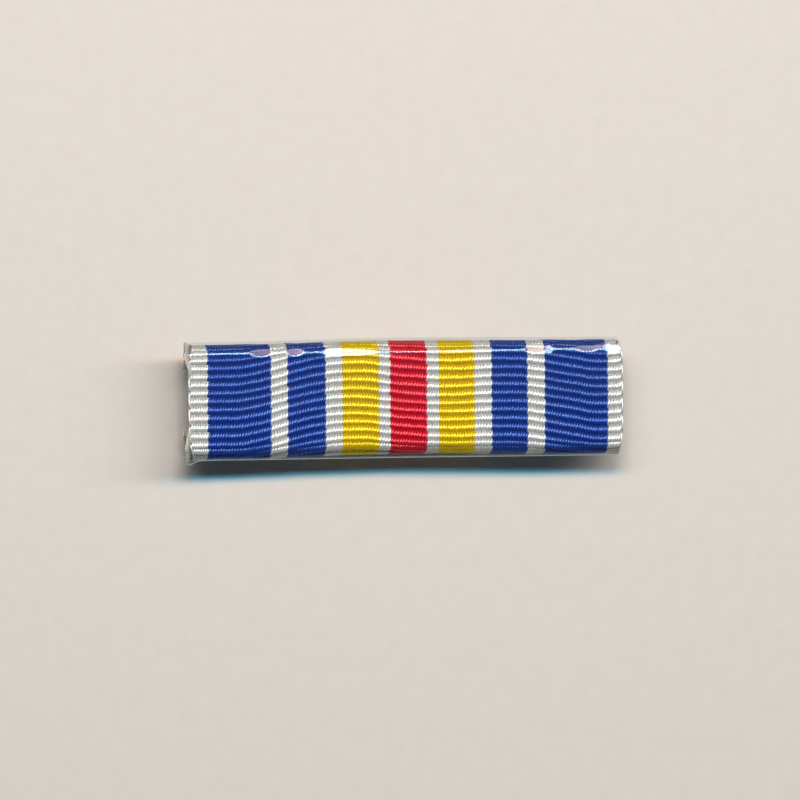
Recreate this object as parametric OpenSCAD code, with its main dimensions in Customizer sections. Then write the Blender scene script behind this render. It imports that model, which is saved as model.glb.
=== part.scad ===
// Ribbon bar: a band of ribbed, striped ribbon wound round a slim metal bar, under a clear film,
// with a brooch pin on the back. Millimetres. X runs along the bar, +Y is the bar's upper edge
// when it is worn, +Z is the way its face looks. Z = 0 is the surface that the pin lies on.

/* [Bar] */
// Length of the bar, which is the width of the ribbon
bar_length = 37; // [30:0.5:45]
// Depth of the bar across its face, over the film
bar_depth = 10; // [9:0.1:14]
// Thickness of the wound bar, over the film and without the pin
bar_thickness = 2.8; // [2.6:0.1:4]

/* [Ribbon] */
// Thickness of the ribbon over its ribs
ribbon_thickness = 0.5; // [0.35:0.05:0.6]
// Distance from one rib to the next, before it is rounded to whole ribs
rib_pitch = 0.7; // [0.5:0.05:1]
// Depth of the groove between two ribs
rib_relief = 0.14; // [0.05:0.01:0.2]
// How far the ribbon laps on to the flat of the back
ribbon_lap = 0.9; // [0.7:0.05:1.5]
// How far the selvedges draw in where the ribbon turns round the edges
selvedge_pull = 0.4; // [0:0.05:0.6]

/* [Cover film] */
// Thickness of the clear film
film_thickness = 0.12; // [0.08:0.01:0.2]
// How far the film laps on to the flat of the back
film_lap = 0.85; // [0.6:0.05:1.2]
// Distance from the ribbon's selvedge to the film's end
film_inset = 0.1; // [0:0.05:0.5]
// How much further out the film turns than the ribbon, so that it stands off the long edges
film_slack = 0.12; // [0:0.02:0.2]

/* [Carrier] */
// Sheet metal of the channel inside the ribbon
sheet_thickness = 0.4; // [0.3:0.05:0.5]
// Length of the channel, which the ribbon hides
carrier_length = 35.8; // [28:0.2:44]
// Flat of each lip that the channel turns in at the back
lip_width = 0.75; // [0.5:0.05:1.2]

/* [Brooch pin] */
// Height of the bar's back above the surface that the pin lies on
stand_off = 2.3; // [2.2:0.1:3]
// Length of the strip that carries the pin
strip_length = 29; // [24:0.5:30]
// Width of that strip
strip_width = 3.4; // [3:0.1:4]
// Thickness of that strip
strip_thickness = 0.5; // [0.4:0.05:0.5]
// Width of the hinge across the bar
hinge_width = 2.6; // [2.2:0.1:3]
// Thickness of each of the hinge's two ears
ear_thickness = 0.6; // [0.4:0.05:0.8]
// Length of the catch along the bar
catch_length = 2.4; // [1.6:0.1:3]
// Diameter of the pin's wire
wire_diameter = 0.7; // [0.5:0.05:0.8]
// Height of the wire's axis above the surface
wire_height = 0.95; // [0.8:0.05:1]
// Space round the wire inside the catch
catch_clearance = 0.15; // [0.1:0.05:0.25]
// Length of the wire's tapered point
point_length = 2.5; // [1.5:0.1:3]
// How far the point stands past the catch
point_overhang = 1.3; // [0.5:0.1:2]
// How much the rounds of the hinge and the catch are cut flat where they rest
foot_cut = 0.15; // [0.1:0.05:0.25]

/* [Fits] */
// Gap between the ribbon and the film, and between the pin's strip and the channel
layer_gap = 0.05; // [0.03:0.01:0.08]
// Layer of glue between the ribbon and the channel
glue_gap = 0.1; // [0.09:0.01:0.14]

/* [Hidden] */
$fn = 48;

// Stripes in the order of the face, left to right: share of the ribbon's width, colour, segments along X
STRIPES = [
    [0.047, "white", 1],
    [0.145, "royalblue", 3],
    [0.040, "white", 1],
    [0.086, "royalblue", 2],
    [0.036, "white", 1],
    [0.086, "gold", 2],
    [0.028, "white", 1],
    [0.081, "crimson", 2],
    [0.028, "white", 1],
    [0.082, "gold", 2],
    [0.040, "white", 1],
    [0.082, "royalblue", 2],
    [0.043, "white", 1],
    [0.143, "royalblue", 3],
    [0.033, "white", 1],
];

// Bow of the ribs on the face: share of the ribbon's width, rise towards +Y as a share of the rib pitch
RIB_BOW = [
    [0.00, 0.0],
    [0.10, 0.0],
    [0.15, 0.3],
    [0.20, 0.8],
    [0.25, 1.5],
    [0.30, 2.0],
    [0.37, 2.3],
    [0.45, 2.0],
    [0.50, 1.7],
    [0.60, 1.4],
    [0.72, 1.6],
    [0.80, 1.3],
    [0.85, 0.9],
    [0.90, 0.4],
    [0.95, 0.1],
    [1.00, 0.2],
];

// Selvedges: share of the way round from the lower cut end to the upper one, and how far the left
// and the right selvedge draw in there, as shares of selvedge_pull; less than zero stands out
SELVEDGE = [
    [0.00, -0.2, -0.2],
    [0.06, 0.0, 0.0],
    [0.17, 0.7, 0.6],
    [0.23, 0.7, 0.5],
    [0.30, 0.2, 0.2],
    [0.40, 0.0, 0.0],
    [0.60, 0.0, 0.0],
    [0.70, 0.2, 0.1],
    [0.77, 1.0, 0.5],
    [0.83, 0.9, 0.5],
    [0.94, 0.0, 0.0],
    [1.00, -0.2, -0.2],
];

// Points across one rib: share of the pitch, share of the relief
RIB_PROFILE = [[0, 0], [0.3, 1], [0.7, 1]];

// Points round each long edge of the film
FILM_TURN_STEPS = 10;

// Radii of the layers, from the outside in
film_radius = bar_thickness / 2;
ribbon_radius = film_radius - film_thickness - layer_gap;
carrier_radius = ribbon_radius - ribbon_thickness - glue_gap;

// Lines that the film turns about, and those that the ribbon and the carrier turn about
film_turn_y = bar_depth / 2 - film_radius;
turn_y = film_turn_y - film_slack;
turn_z = stand_off + film_radius;

// Length of the ribbon round its crests, and its whole ribs
turn_length = PI * ribbon_radius;
wrap_length = 2 * ribbon_lap + 2 * turn_length + 2 * turn_y;
rib_count = round(wrap_length / rib_pitch);
pitch = wrap_length / rib_count;

// Share of the width, from each selvedge, over which the ribbon draws in: the first stripe
draw_reach = STRIPES[0][0];

// The ribs run straight again at the cut ends, over this much of the back
bow_fade = ribbon_lap + turn_length / 2;

// Underside of the channel's face plate, which the pin's strip is fixed under
plate_z = turn_z + carrier_radius - sheet_thickness;
strip_z = plate_z - layer_gap - strip_thickness;

// The hinge and the catch have the same round, cut flat at Z = 0
foot_radius = wire_height + foot_cut;
hinge_x = strip_length / 2 - foot_radius;
catch_x = -(strip_length - catch_length) / 2;
catch_bore = wire_diameter / 2 + catch_clearance;

// Place on a layer of radius r that turns about y, at distance s round it from its lower cut end, which
// laps on to the back: [y, z, angle], where the angle is that of the outward normal from +Y towards +Z
function on_layer(s, r, y, lap) =
    let (
        bend = PI * r,
        a = s - lap,
        b = a - bend,
        c = b - 2 * y,
        d = c - bend
    )
    a < 0 ? [-y - a, turn_z - r, -90]
    : b < 0 ? turned(-y, r, -90 - 180 * a / bend)
    : c < 0 ? [-y + b, turn_z + r, 90]
    : d < 0 ? turned(y, r, 90 - 180 * c / bend)
    : [y - d, turn_z - r, -90];

// Place on a long edge's round, at this angle of its normal
function turned(y, r, angle) = [y + r * cos(angle), turn_z + r * sin(angle), angle];

// A point that lies deeper than the layer's outside, along its normal
function inwards(place, depth, x) =
    [x, place[0] - depth * cos(place[2]), place[1] - depth * sin(place[2])];

// How far the ribs have risen at a share of the width, faded towards the cut ends
function bow(share, s) =
    lookup(share, RIB_BOW) * pitch * min(1, s / bow_fade, (wrap_length - s) / bow_fade);

// Column of the selvedge table against the way round
function selvedge(side) = [for (row = SELVEDGE) [row[0], row[side]]];

// X of a point at a share of the width: the middle stays, the last stripe at each end is drawn in
function drawn_x(share, round_share, length) =
    let (
        left = max(0, 1 - share / draw_reach) * lookup(round_share, selvedge(1)),
        right = max(0, 1 - (1 - share) / draw_reach) * lookup(round_share, selvedge(2))
    )
    (share - 0.5) * length + (left - right) * selvedge_pull;

// Sum of the stripes' shares before this one
function stripe_start(i) = i == 0 ? 0 : stripe_start(i - 1) + STRIPES[i - 1][0];

// A tube wall between an outer and an inner grid, both [column][row], closed at its four rims.
// The outer rows stand in groups of this many over each step of the inner ones.
module wall(outer, inner, group) {
    columns = len(outer);
    rows = len(outer[0]);
    steps = len(inner[0]);
    shift = columns * rows;
    points = [each [for (c = outer) each c], each [for (c = inner) each c]];
    skin = [
        for (i = [0 : columns - 2], j = [0 : rows - 2])
            let (a = i * rows + j, b = a + rows)
            each [[a, b + 1, b], [a, a + 1, b + 1]]
    ];
    lining = [
        for (i = [0 : columns - 2], j = [0 : steps - 2])
            let (a = shift + i * steps + j, b = a + steps)
            each [[a, b, b + 1], [a, b + 1, a + 1]]
    ];
    cuts = [
        for (i = [0 : columns - 2], last = [0, 1])
            let (
                a = i * rows + last * (rows - 1),
                b = shift + i * steps + last * (steps - 1),
                quad = [a, b, b + steps, a + rows]
            )
            each last == 1 ? halves(quad) : halves(flipped(quad))
    ];
    ends = [
        for (j = [0 : steps - 2], last = [0, 1])
            let (
                a = last * (columns - 1) * rows + j * group,
                b = shift + last * (columns - 1) * steps + j,
                fan = [for (k = [0 : group - 1]) [b, a + k, a + k + 1]],
                rim = [each fan, [b, a + group, b + 1]]
            )
            each last == 1 ? rim : [for (f = rim) flipped(f)]
    ];
    polyhedron(points, [each skin, each lining, each cuts, each ends]);
}

function flipped(face) = [for (k = [len(face) - 1 : -1 : 0]) face[k]];

function halves(quad) = [[quad[0], quad[1], quad[2]], [quad[0], quad[2], quad[3]]];

// One stripe of the ribbon, from one share of the width to another
module stripe(start, width, segments) {
    shares = [for (i = [0 : segments]) start + width * i / segments];
    outer = [
        for (share = shares) [
            for (rib = [0 : rib_count - 1], point = RIB_PROFILE)
                on_ribbon(share, rib + point[0], rib_relief * (1 - point[1])),
            on_ribbon(share, rib_count, rib_relief)
        ]
    ];
    inner = [
        for (share = shares) [
            for (rib = [0 : rib_count]) on_ribbon(share, rib, ribbon_thickness)
        ]
    ];
    wall(outer, inner, len(RIB_PROFILE));
}

// A point of the ribbon at a share of its width, a number of ribs from its lower cut end, this deep
function on_ribbon(share, ribs, depth) =
    let (
        level = ribs * pitch,
        s = level + bow(share, level),
        x = drawn_x(share, s / wrap_length, bar_length)
    )
    inwards(on_layer(s, ribbon_radius, turn_y, ribbon_lap), depth, x);

// The woven band, with its stripes side by side
module ribbon() {
    for (i = [0 : len(STRIPES) - 1])
        color(STRIPES[i][1]) stripe(stripe_start(i), STRIPES[i][0], STRIPES[i][2]);
}

// Clear film over the ribbon
module cover_film() {
    length = bar_length - 2 * film_inset;
    round_length = 2 * film_lap + 2 * PI * film_radius + 2 * film_turn_y;
    turn_step = PI * film_radius / FILM_TURN_STEPS;
    places = [
        0,
        for (k = [0 : FILM_TURN_STEPS]) film_lap + k * turn_step,
        for (k = [0 : FILM_TURN_STEPS]) round_length - film_lap - (FILM_TURN_STEPS - k) * turn_step,
        round_length
    ];
    shares = [0, draw_reach, 0.5, 1 - draw_reach, 1];
    grids = [
        for (depth = [0, film_thickness]) [
            for (share = shares) [
                for (s = places)
                    inwards(
                        on_layer(s, film_radius, film_turn_y, film_lap),
                        depth,
                        drawn_x(share, s / round_length, length)
                    )
            ]
        ]
    ];
    color("aliceblue", 0.3) wall(grids[0], grids[1], 1);
}

// Section of the sheet metal channel, with y across the bar and z along the sketch's second axis
module channel_section() {
    lip_end = turn_y - lip_width;
    difference() {
        layer_outline(carrier_radius);
        layer_outline(carrier_radius - sheet_thickness);
        translate([-lip_end, turn_z - 2 * carrier_radius]) square([2 * lip_end, 2 * carrier_radius]);
    }
}

// Filled outline of everything inside a layer's outside
module layer_outline(r) {
    translate([-turn_y, turn_z - r]) square([2 * turn_y, 2 * r]);
    for (side = [-1, 1]) translate([side * turn_y, turn_z]) circle(r);
}

// Channel bent from sheet, open at the back
module carrier() {
    color("darkgoldenrod") along_bar(0, carrier_length) channel_section();
}

// Stand a section, drawn as y and z, along the bar, centred at x
module along_bar(x, length) {
    translate([x + length / 2, 0, 0]) rotate([90, 0, -90]) mirror([1, 0]) linear_extrude(length) children();
}

// Brooch pin: strip, hinge, wire and catch in one piece
module brooch_pin() {
    color("silver") {
        translate([-strip_length / 2, -strip_width / 2, strip_z])
            cube([strip_length, strip_width, strip_thickness]);
        hinge();
        wire();
        along_bar(catch_x, catch_length) catch_section();
    }
}

// A round that stands under the strip on a post as wide as itself, cut flat where it rests
module footed_round(r) {
    intersection() {
        union() {
            translate([0, wire_height]) circle(r);
            translate([-r, wire_height]) square([2 * r, strip_z + strip_thickness / 2 - wire_height]);
        }
        translate([-r, 0]) square([2 * r, strip_z + strip_thickness]);
    }
}

// Two ears with the wire's barrel between them
module hinge() {
    barrel_width = hinge_width - 2 * ear_thickness;
    for (side = [-1, 1])
        across_bar(hinge_x, side * (hinge_width - ear_thickness) / 2, ear_thickness) footed_round(foot_radius);
    across_bar(hinge_x, 0, barrel_width) translate([0, wire_height]) circle(wire_height - foot_cut);
}

// Stand a section, drawn as x and z, across the bar, centred at x and y
module across_bar(x, y, width) {
    translate([x, y + width / 2, 0]) rotate([90, 0, 0]) linear_extrude(width) children();
}

// Straight wire from the hinge's barrel to just past the catch, ending in a point
module wire() {
    tip_x = catch_x - catch_length / 2 - point_overhang;
    translate([tip_x, 0, wire_height]) rotate([0, 90, 0]) {
        cylinder(h = point_length, r1 = wire_diameter / 8, r2 = wire_diameter / 2);
        translate([0, 0, point_length]) cylinder(h = hinge_x - tip_x - point_length, d = wire_diameter);
    }
}

// Hooked catch, open to +Y
module catch_section() {
    difference() {
        footed_round(foot_radius);
        translate([0, wire_height]) circle(catch_bore);
        translate([0, wire_height - catch_bore]) square([2 * foot_radius, 2 * catch_bore]);
    }
}

carrier();
ribbon();
cover_film();
brooch_pin();
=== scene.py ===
"""Looks of the ribbon bar. The ribbon is woven flat, yarn by yarn, and then wound round the bar, and so
is the clear film over it. Metres. In the flat, x runs across the ribbon, from selvedge to selvedge, y
is the way along it from its lower cut end, and z is the height above its crests."""

import math

import bpy
from mathutils import Matrix, Vector


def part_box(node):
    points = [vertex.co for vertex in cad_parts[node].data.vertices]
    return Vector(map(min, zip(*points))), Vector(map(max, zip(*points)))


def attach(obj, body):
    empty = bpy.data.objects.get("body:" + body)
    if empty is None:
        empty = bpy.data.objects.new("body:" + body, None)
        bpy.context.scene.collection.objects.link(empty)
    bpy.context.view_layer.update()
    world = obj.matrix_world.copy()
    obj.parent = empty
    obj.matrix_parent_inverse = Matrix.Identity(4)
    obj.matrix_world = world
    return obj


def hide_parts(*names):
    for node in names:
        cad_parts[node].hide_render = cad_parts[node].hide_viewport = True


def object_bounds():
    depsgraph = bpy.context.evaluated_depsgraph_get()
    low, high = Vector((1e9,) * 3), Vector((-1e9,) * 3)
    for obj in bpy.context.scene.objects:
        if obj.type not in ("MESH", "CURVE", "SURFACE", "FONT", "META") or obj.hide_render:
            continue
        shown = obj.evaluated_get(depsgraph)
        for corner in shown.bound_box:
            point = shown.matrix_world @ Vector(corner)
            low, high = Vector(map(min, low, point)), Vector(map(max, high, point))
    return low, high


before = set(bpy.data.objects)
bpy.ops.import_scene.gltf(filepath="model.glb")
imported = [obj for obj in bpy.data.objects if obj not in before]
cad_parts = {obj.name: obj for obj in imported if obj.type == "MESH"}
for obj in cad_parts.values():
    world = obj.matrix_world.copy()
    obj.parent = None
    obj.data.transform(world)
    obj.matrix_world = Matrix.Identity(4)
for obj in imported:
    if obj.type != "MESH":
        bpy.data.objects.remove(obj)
cad_low, cad_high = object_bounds()

MM = 0.001
DEGREE = math.pi / 180

# Sizes of the bar, from the solids
ribbon_low, ribbon_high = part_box("ribbon")
film_low, film_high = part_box("cover_film")
RIBBON_RADIUS = (ribbon_high.z - ribbon_low.z) / 2
RIBBON_TURN_Y = (ribbon_high.y - ribbon_low.y) / 2 - RIBBON_RADIUS
FILM_RADIUS = (film_high.z - film_low.z) / 2
FILM_TURN_Y = (film_high.y - film_low.y) / 2 - FILM_RADIUS
TURN_Z = (film_low.z + film_high.z) / 2

# Ribbon
RIBBON_WIDTH = 37 * MM
RIBBON_LAP = 0.9 * MM
RIBBON_THICKNESS = 0.5 * MM
CORD_WIDTH = 0.16 * MM
RIBBON_LIFT = 0.08 * MM  # how far the ribbon sits towards the upper edge, against the film there
WRAP = 2 * RIBBON_LAP + 2 * math.pi * RIBBON_RADIUS + 2 * RIBBON_TURN_Y
RIBS = 23
RIB_PITCH = WRAP / (RIBS + 1)
RIB_RELIEF = 0.10 * MM
RIB_FAN = 0.012  # how much wider the pitch is at the right selvedge than in the middle, as a share
RIB_WAVER = 0.14 * RIB_PITCH  # how far a rib wavers, between its extremes
WAVER_SCALE = 900.0
WAVER_STRETCH = 0.6  # how much slower it wavers along a rib than from rib to rib
BOW_FADE = RIBBON_LAP + math.pi * RIBBON_RADIUS / 2  # way from each cut end over which the bow grows
GROUND_COLUMNS = 112
ROWS_TO_A_RIB = 8

# Yarns
FLOAT_LENGTH = 1.2 * RIB_PITCH
FLOAT_THICKNESS = 0.17 * MM
FLOAT_CREST = -0.125  # place of a float's crest, as a share of its length from its middle
FLOAT_TAPER = 0.36  # how much narrower and thinner its ends are, as a share
FLOAT_OVERLAP = 1.5  # width of a float, in yarn spacings
FLOAT_LEAN = 0.02 * MM  # how much further right its upper end lies than its lower one
FLOAT_SHEAR = 0.07 * MM  # how much further up its right side lies than its middle
UPPER_SLOPE = 0.17  # even slope from the crest to the upper end
UPPER_DIVE = 0.47  # dive that is added to it towards that end
UPPER_POWER = 5.0  # how late this dive comes
LOWER_SLOPE = 0.49  # slope from the crest to the lower end
LOWER_POWER = 1.15  # how much steeper it gets on the way
SPIKE = 0.35  # how much later the right side dives, as a share
DEEPEST = 0.34 * MM  # how far a float's top sinks at most, so that it stays inside the ribbon
YARN_SPACING = 0.231 * MM
STAGGER = 0.16  # how far the floats of one rib stand from those of the next, in yarn spacings
FILAMENT_SLANT = (16 * DEGREE, 26 * DEGREE)  # least and most lean of the filaments in a yarn
YARN_TWIST = 2.6
FILAMENTS = 9
YARN_TONE = 0.35  # how much lighter or darker one yarn is than the next, from shade to dye
# Painted shade on each float's ends, where they dive into the grooves
FLOAT_END_SHADE = 0.45  # how much darker a float's ends are
GROUND_SINK = 0.09 * MM  # how far the ground's crests lie below the floats'

# How much the floats differ, at most
FLOAT_SHIFT = 0.05  # sideways, in yarn spacings
FLOAT_SLIP = 0.02 * RIB_PITCH  # lengthways
FLOAT_TURN = 0.03  # in radians
FLOAT_WIDTHS = (0.92, 1.04)
FLOAT_LENGTHS = (0.95, 1.04)
FLOAT_HEIGHTS = (0.95, 1.04)

# Loops of weft at the selvedges: side, number, place of the first in ribs, how far its ends turn in
SELVEDGE_LOOPS = [
    (1, 12, 0.8, 0.22 * MM),
    (-1, 12, 0.3, 0.12 * MM),
]
LOOP_LENGTH = 2.1 * RIB_PITCH
LOOP_DIVE = 0.7  # how far a loop's ends sink, as a share of how far they turn in
LOOP_SLOPE = 0.22 * MM  # how much deeper its upper end lies than its lower one
LOOP_SINK = 0.06 * MM
LOOP_SIZES = (0.92, 1.06)
LOOP_TONES = (0.7, 1.0)

# Loose threads at the left selvedge: number, and first and last place as shares of the way round
LOOSE_THREADS = [
    (9, 0.09, 0.27),
    (7, 0.75, 0.90),
]
THREAD_ARC = 1.5 * math.pi
THREAD_STRETCH = 1.5  # how much longer than wide its arc is
THREAD_SINK = 0.1 * MM
THREAD_SHIFT = ((-0.25 * MM, -0.2 * MM, -0.15 * MM), (0.1 * MM, 0.2 * MM, 0.1 * MM))
THREAD_SPIN = ((-0.8, -0.8, 0.0), (0.8, 0.8, 6.28))
THREAD_SIZES = (0.5, 1.2)

# Film
FILM_LAP = 0.85 * MM
FILM_INSET = 0.1 * MM
FILM_THICKNESS = 0.07 * MM
FILM_RIPPLE = 0.02 * MM
RIPPLE_SCALE = 260.0
FILM_EDGE = 0.25 * MM  # how far the film's lower turn stands out where it bends most
FILM_EDGE_ANGLE = 130 * DEGREE
TURN_MARGIN = 0.1 * MM  # how far past the face a turn's own shape begins
TURN_FADE = 0.6 * MM
FILM_COLUMN_COUNT = 290
FILM_ROW_COUNT = 150

# Film's left end, tucked in, scuffed and crumpled over both turns
FILM_TUCK = 0.40 * MM  # width of the strip that closes the rolled edges
TUCK_DEPTH = 1.15 * MM
TUCK_STEEPNESS = 6  # how suddenly the tuck begins on a turn
SCUFF_WIDTH = 0.75 * FILM_TUCK  # way from the left end over which the scuffing fades
SCUFF_ON_FACE = 1.2  # where it ends on the face, in such widths
SCUFF_ON_TURNS = 0.8  # how much further on the turns
SCUFF_FADE = 0.8 * MM  # way from a turn over which it fades on the face
FILM_CRUMPLE = 0.13 * MM
CRUMPLE_SCALE = 1800.0
CRUMPLE_REST = 0.4  # the noise at which the crumpled film is where the smooth one would be
CRUMPLE_SIDEWAYS = 0.6  # as a share of its height

# Facets in the film's upper turn
FACET_RIM = 0.075  # angle along a dull facet's lower side that stays clear
FACET_RIM_FADE = 0.03
FACET_FADE = 0.004 * MM  # how deep a facet is where its milkiness is full
FACET_ROUNDING = 0.012 * MM

# Film's gloss, as the share of light that it mirrors
FILM_SHINE = 0.65  # of what clear plastic mirrors at that angle
LOWER_SHINE = 3.2  # how much more of it the lower edge has
LOWER_LOSS = 0.25  # taken off it there, so that only the steep part shines
BASE_GLOSS = 0.04  # added all over
GLOSS_LIMITS = (0.015, 0.75)
FILM_IOR = 1.46
CLEAR_TINT = (0.72, 0.88, 1, 1)
MILKY_TINT = (1, 0.76, 0.66, 1)
HAZE_COLOUR = (0.64, 0.58, 0.50, 1)

# Shade painted on the ribbon's turns
PAINTED_SHADE_COLOUR = (0.004, 0.0045, 0.007, 1)
UPPER_PAINTED_SHADE = 0.46
LOWER_PAINTED_SHADE = 0.36  # how much more there is on the lower turn

# Metals and paper: the two colours of each one's pattern
BRASS, TARNISH = (0.62, 0.43, 0.17, 1), (0.26, 0.17, 0.07, 1)
NICKEL, WORN_NICKEL = (0.66, 0.64, 0.60, 1), (0.34, 0.31, 0.27, 1)
PAPER, LIGHT_PAPER = (0.70, 0.63, 0.57, 1), (0.76, 0.69, 0.625, 1)

# Lamps: strips by colour and tilt from straight above, which are white together
LAMP_STRIPS = [
    ((1, 0.50, 0.17), 24.6 * DEGREE),
    ((0, 0.485, 0.79), 21.5 * DEGREE),
]
LAMP_HEIGHT = 0.35
LAMP_DEPTH = 0.050

# Camera: how far it stands off the face's normal, and how the bar lies in the picture, in pixels
CAMERA_LEFT = 11.5 * DEGREE
CAMERA_UP = 2 * DEGREE
CAMERA_ROLL = 0.9 * DEGREE
PICTURE_WIDTH = 800
PIXELS_PER_MM = 12.02
BAR_OFF_MIDDLE = 6.5  # how far the bar's middle lies right of the picture's

# Stripes from left to right: share of the width, yarn
STRIPES = [
    (0.0470, "white"),
    (0.1440, "blue"),
    (0.0387, "white"),
    (0.0862, "blue"),
    (0.0388, "white"),
    (0.0834, "yellow"),
    (0.0264, "white"),
    (0.0832, "red"),
    (0.0284, "white"),
    (0.0812, "yellow"),
    (0.0401, "white"),
    (0.0818, "blue"),
    (0.0404, "white"),
    (0.1446, "blue"),
    (0.0358, "white"),
]

# Bow of the ribs: share of the width, rise towards the upper edge in rib pitches
RIB_BOW = [
    (0.00, 0.00),
    (0.10, 0.00),
    (0.15, 0.27),
    (0.20, 0.83),
    (0.25, 1.46),
    (0.30, 1.96),
    (0.37, 2.32),
    (0.45, 1.99),
    (0.50, 1.67),
    (0.60, 1.39),
    (0.70, 1.57),
    (0.75, 1.56),
    (0.80, 1.32),
    (0.85, 0.88),
    (0.90, 0.45),
    (0.95, 0.12),
    (1.00, 0.24),
]

# Upper edge's bulge: share of the width, how far it stands out, in millimetres
EDGE_BULGE = [
    (0.00, 0.00),
    (0.12, 0.02),
    (0.30, 0.10),
    (0.48, 0.17),
    (0.65, 0.13),
    (0.85, 0.03),
    (1.00, 0.00),
]

# Lower edge: share of the width, how far the ribbon and then the film draw in there, in millimetres
LOWER_EDGE = [
    (0.00, -0.21, -0.09),
    (0.015, -0.21, 0.03),
    (0.04, -0.21, 0.29),
    (0.07, -0.21, 0.31),
    (0.30, -0.02, 0.31),
    (0.50, 0.06, 0.31),
    (0.75, -0.10, 0.27),
    (1.00, -0.18, 0.25),
]

# How much squarer than round the film's upper turn is: share of the width, millimetres
FILM_CORNER = [
    (0.00, 0.07),
    (0.20, 0.07),
    (0.35, 0.01),
    (0.50, -0.05),
    (0.65, -0.015),
    (0.75, 0.03),
    (0.85, 0.07),
    (0.92, 0.06),
    (0.955, 0.13),
    (0.98, 0.06),
    (1.00, 0.06),
]

# Selvedges: share of the way round, how far the left and the right one draw in, in millimetres
SELVEDGE_PULL = [
    (0.00, 0.00, 0.00),
    (0.06, 0.20, 0.05),
    (0.17, 0.45, 0.20),
    (0.23, 0.42, 0.22),
    (0.26, 0.34, 0.18),
    (0.30, 0.18, 0.09),
    (0.36, 0.10, 0.02),
    (0.62, 0.10, 0.00),
    (0.70, 0.12, 0.02),
    (0.74, 0.22, 0.08),
    (0.775, 0.42, 0.22),
    (0.83, 0.45, 0.24),
    (0.94, 0.20, 0.05),
    (1.00, 0.00, 0.00),
]

# Film's ends: the same, but the left one stands out over both turns
FILM_PULL = [
    (0.00, 0.45, 0.00),
    (0.10, 0.20, 0.05),
    (0.15, -0.50, 0.15),
    (0.20, -0.82, 0.20),
    (0.257, -0.90, 0.10),
    (0.274, -0.64, 0.07),
    (0.291, -0.40, 0.03),
    (0.34, -0.22, 0.00),
    (0.38, -0.12, 0.00),
    (0.43, 0.00, 0.00),
    (0.63, 0.00, 0.00),
    (0.66, -0.08, 0.00),
    (0.69, -0.26, 0.00),
    (0.709, -0.38, 0.02),
    (0.726, -0.65, 0.04),
    (0.743, -0.90, 0.05),
    (0.80, -0.88, 0.15),
    (0.85, -0.62, 0.15),
    (0.90, 0.00, 0.10),
    (1.00, 0.45, 0.00),
]

# Facets pressed into the film's upper turn: share of the width, half length in millimetres, tilt from
# the face in degrees, depth in millimetres, milkiness
FACETS = [
    (0.169, 0.74, 12.9, 0.0215, 1.35),
    (0.247, 0.60, 12.9, 0.0265, 1),
    (0.345, 1.30, 12.4, 0.050, 0),
    (0.385, 2.20, 12.3, 0.042, 0),
    (0.620, 2.40, 12.3, 0.007, 0),
    (0.797, 0.85, 12.9, 0.045, 1),
    (0.828, 0.38, 12.3, 0.034, 0),
    (0.915, 0.70, 12.9, 0.013, 1),
    (0.977, 0.70, 12.3, 0.034, 0),
]

# Columns of the film's mesh: share of the columns, share of the width, closer together at the left end
FILM_COLUMNS = [
    (0.00, 0.00),
    (0.05, 0.02),
    (1.00, 1.00),
]

# Rows of the film's mesh: share of the rows, share of the way round, closer together along the facets
FILM_ROWS = [
    (0.00, 0.00),
    (0.30, 0.64),
    (0.70, 0.78),
    (1.00, 1.00),
]

# Dyes of the yarns: body, shade between the yarns, cloth under them, and gloss, as linear colours
YARNS = {
    "white": {
        "dye": (0.72, 0.70, 0.685),
        "shade": (0.55, 0.534, 0.52),
        "ground": (0.625, 0.608, 0.592),
        "gloss": (1.0, 0.98, 0.95),
    },
    "blue": {
        "dye": (0.013, 0.046, 0.32),
        "shade": (0.006, 0.026, 0.195),
        "ground": (0.010, 0.036, 0.26),
        "gloss": (0.12, 0.21, 0.54),
    },
    "yellow": {
        "dye": (0.90, 0.505, 0.001),
        "shade": (0.70, 0.38, 0.0005),
        "ground": (0.8, 0.443, 0.00075),
        "gloss": (0.9, 1.0, 0.09),
    },
    "red": {
        "dye": (0.74, 0.003, 0.025),
        "shade": (0.54, 0.001, 0.018),
        "ground": (0.64, 0.002, 0.0215),
        "gloss": (1.0, 0.15, 0.185),
    },
}


# Node trees

class Wire:
    """A number or vector on a node's socket. Arithmetic with it adds Math nodes to its tree."""

    def __init__(self, socket):
        self.socket = socket

    def math(self, operation, *others):
        node = add(self.socket.id_data, "ShaderNodeMath", operation=operation)
        for value, socket in zip((self, *others), node.inputs):
            feed(socket, value)
        return Wire(node.outputs[0])

    def __add__(self, other):
        return self.math("ADD", other)

    def __sub__(self, other):
        return self.math("SUBTRACT", other)

    def __mul__(self, other):
        return self.math("MULTIPLY", other)

    def __truediv__(self, other):
        return self.math("DIVIDE", other)

    def __mod__(self, other):
        return self.math("FLOORED_MODULO", other)

    def __neg__(self):
        return self * -1

    def __pow__(self, other):
        return self.math("POWER", other)

    def at_least(self, other):
        return self.math("MAXIMUM", other)

    def at_most(self, other):
        return self.math("MINIMUM", other)

    def within(self, low, high):
        return self.at_least(low).at_most(high)


def feed(socket, value):
    """Links a socket to a wire, or sets it to a value."""
    if isinstance(value, Wire):
        socket.id_data.links.new(value.socket, socket)
    else:
        socket.default_value = value


def add(tree, kind, inputs=None, **settings):
    """A new node, with its settings and its inputs by name or number."""
    node = tree.nodes.new(kind)
    for name, value in settings.items():
        setattr(node, name, value)
    for key, value in (inputs or {}).items():
        feed(node.inputs[key], value)
    return node


def made(tree, kind, inputs=None, output=0, **settings):
    """The wire that leaves a new node."""
    return Wire(add(tree, kind, inputs, **settings).outputs[output])


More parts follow.
